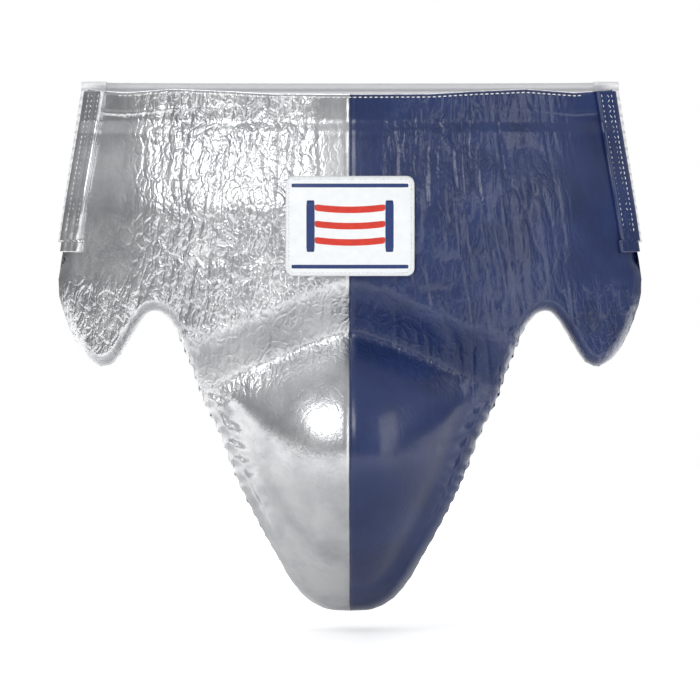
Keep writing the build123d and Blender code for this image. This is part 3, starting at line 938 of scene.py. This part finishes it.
class PROTECTOR_OT_stitches(bpy.types.Operator):
    """Build the rows of white thread along the top edge, the side seams and round the label"""
    bl_idname = "protector.stitches"
    bl_label = "Stitching"
    bl_options = {"REGISTER", "UNDO"}

    def execute(self, context):
        look = context.scene.protector_leather
        length = context.scene.protector_trim.stitch / MM
        names = ("top_stitching", "side_stitching_right", "side_stitching_left", "label_stitching")
        rows = {name: [] for name in names}
        x = np.linspace(-138.0, 138.0, 200)
        line = np.stack([x, crest(x) - 2.0], axis=1)
        rows["top_stitching"].append((line, 0.15, THREAD_PITCH, THREAD_RADIUS, 0.0))
        for side, name in ((-1, "side_stitching_right"), (1, "side_stitching_left")):
            for inset, zigzag in ((2.4, 0.0), (4.8, 0.9), (8.6, 0.0)):
                z = np.linspace(-2.5, -88.0, 60)
                line = np.stack([side * (seam_across(z) + SEAM_OUT - inset), z], axis=1)
                rows[name].append((line, OVER_HEM, THREAD_PITCH, THREAD_RADIUS, zigzag))
        w, h = LABEL_HALF[0] - 1.8, LABEL_HALF[1] - 1.8
        c = LABEL_CENTRE
        frame_line = [(-w + 2, c + h), (w - 2, c + h), (w, c + h - 2), (w, c - h + 2), (w - 2, c - h),
                      (-w + 2, c - h), (-w, c - h + 2), (-w, c + h - 2), (-w + 2, c + h)]
        rows["label_stitching"].append((frame_line, 2.2, 2.6, 0.28, 0.0))
        for name, lines in rows.items():
            bm = bmesh.new()
            for line, lift, pitch, radius, zigzag in lines:
                stitch_path(bm, line, lift, look, min(length, pitch * 0.86), pitch, radius, zigzag)
            thread = finish_mesh(name + "_thread", bm, [get_material("thread_white")])
            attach(thread, "front_panel")
            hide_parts(name)
        return {"FINISHED"}


class PROTECTOR_OT_hardware(bpy.types.Operator):
    """Finish the moulded cup inside the pad"""
    bl_idname = "protector.hardware"
    bl_label = "Hard cup"
    bl_options = {"REGISTER", "UNDO"}

    def execute(self, context):
        paint_node("hard_cup", "cup_plastic")
        return {"FINISHED"}


# ---------------------------------------------------------------- stage

def area_light(name, place, target, size, watts, color=(1, 1, 1)):
    light = bpy.data.lights.new(name, "AREA")
    light.shape = "RECTANGLE"
    light.size, light.size_y = size
    light.energy = watts
    light.color = color
    lamp = bpy.data.objects.new(name, light)
    bpy.context.scene.collection.objects.link(lamp)
    lamp.location = place
    lamp.rotation_euler = (Vector(target) - Vector(place)).to_track_quat("-Z", "Y").to_euler()
    return lamp


def white_world():
    """White to the camera, and a dim-to-bright gradient to everything else."""
    world = bpy.data.worlds.new("studio")
    world.use_nodes = True
    nodes, links = world.node_tree.nodes, world.node_tree.links
    output, lit = nodes["World Output"], nodes["Background"]
    place = nodes.new("ShaderNodeTexCoord")
    apart = nodes.new("ShaderNodeSeparateXYZ")
    ramp = nodes.new("ShaderNodeValToRGB")
    stops = ramp.color_ramp.elements
    stops[0].position, stops[0].color = 0.42, (0.05, 0.05, 0.055, 1)
    stops[1].position, stops[1].color = 0.70, (0.92, 0.93, 0.95, 1)
    height = nodes.new("ShaderNodeMapRange")
    height.inputs["From Min"].default_value = -1.0
    links.new(place.outputs["Generated"], apart.inputs["Vector"])
    links.new(apart.outputs["Z"], height.inputs["Value"])
    links.new(height.outputs["Result"], ramp.inputs["Fac"])
    links.new(ramp.outputs["Color"], lit.inputs["Color"])
    lit.inputs["Strength"].default_value = 0.52
    seen = nodes.new("ShaderNodeBackground")
    seen.inputs["Color"].default_value = (1, 1, 1, 1)
    seen.inputs["Strength"].default_value = 1.0
    path, mix = nodes.new("ShaderNodeLightPath"), nodes.new("ShaderNodeMixShader")
    links.new(path.outputs["Is Camera Ray"], mix.inputs["Fac"])
    links.new(lit.outputs["Background"], mix.inputs[1])
    links.new(seen.outputs["Background"], mix.inputs[2])
    links.new(mix.outputs["Shader"], output.inputs["Surface"])
    return world


class PROTECTOR_OT_stage(bpy.types.Operator):
    """Build the pale floor, the soft studio lights and the camera"""
    bl_idname = "protector.stage"
    bl_label = "Stage"
    bl_options = {"REGISTER", "UNDO"}

    def execute(self, context):
        scene, stage = context.scene, context.scene.protector_stage
        bm = bmesh.new()
        bmesh.ops.create_circle(bm, cap_ends=True, segments=96, radius=1.5)
        floor = finish_mesh("floor", bm, [get_material("floor_pale")])
        floor.location.z = CAD_BOX[0].z - stage.gap
        middle = (0, 0, -0.154)
        lamps = [area_light("key", (-0.75, -1.25, 0.75), middle, (0.9, 0.7), 10.5),
                 area_light("fill", (1.15, -1.0, 0.25), middle, (0.6, 1.1), 5),
                 area_light("back", (0.2, 1.3, 0.6), middle, (1.1, 0.8), 7)]
        lens = bpy.data.cameras.new("camera")
        camera = bpy.data.objects.new("camera", lens)
        scene.collection.objects.link(camera)
        lens.sensor_width = 36.0
        lens.lens = 262.0
        aim = Vector((0, -0.06, -0.1539))
        back = Vector((0, -math.cos(stage.elevation), math.sin(stage.elevation)))
        camera.location = aim + back * stage.distance
        camera.rotation_euler = (-back).to_track_quat("-Z", "Y").to_euler()
        scene.camera = camera
        scene.world = white_world()
        scene.view_settings.view_transform = "Standard"
        return {"FINISHED"}


class PROTECTOR_PT_sidebar(bpy.types.Panel):
    bl_idname = "PROTECTOR_PT_sidebar"
    bl_label = "Groin protector"
    bl_space_type = "VIEW_3D"
    bl_region_type = "UI"
    bl_category = "Protector"

    def draw(self, context):
        for settings in ("protector_leather", "protector_trim", "protector_stage"):
            group = getattr(context.scene, settings)
            for name in group.__annotations__:
                self.layout.prop(group, name)
        for operator in OPERATORS:
            self.layout.operator(operator.bl_idname)


OPERATORS = (PROTECTOR_OT_pads, PROTECTOR_OT_lining, PROTECTOR_OT_band, PROTECTOR_OT_straps,
             PROTECTOR_OT_hems, PROTECTOR_OT_label, PROTECTOR_OT_stitches, PROTECTOR_OT_hardware,
             PROTECTOR_OT_stage)
CLASSES = (PROTECTOR_PG_leather, PROTECTOR_PG_trim, PROTECTOR_PG_stage, *OPERATORS, PROTECTOR_PT_sidebar)


def register():
    for item in CLASSES:
        bpy.utils.register_class(item)
    bpy.types.Scene.protector_leather = bpy.props.PointerProperty(type=PROTECTOR_PG_leather)
    bpy.types.Scene.protector_trim = bpy.props.PointerProperty(type=PROTECTOR_PG_trim)
    bpy.types.Scene.protector_stage = bpy.props.PointerProperty(type=PROTECTOR_PG_stage)


def unregister():
    del bpy.types.Scene.protector_leather
    del bpy.types.Scene.protector_trim
    del bpy.types.Scene.protector_stage
    for item in reversed(CLASSES):
        bpy.utils.unregister_class(item)


def main():
    """Build every piece and the stage."""
    register()
    bpy.ops.protector.pads()
    bpy.ops.protector.lining()
    bpy.ops.protector.band()
    bpy.ops.protector.straps()
    bpy.ops.protector.hems()
    bpy.ops.protector.label()
    bpy.ops.protector.stitches()
    bpy.ops.protector.hardware()
    bpy.ops.protector.stage()


if __name__ == "__main__":
    main()
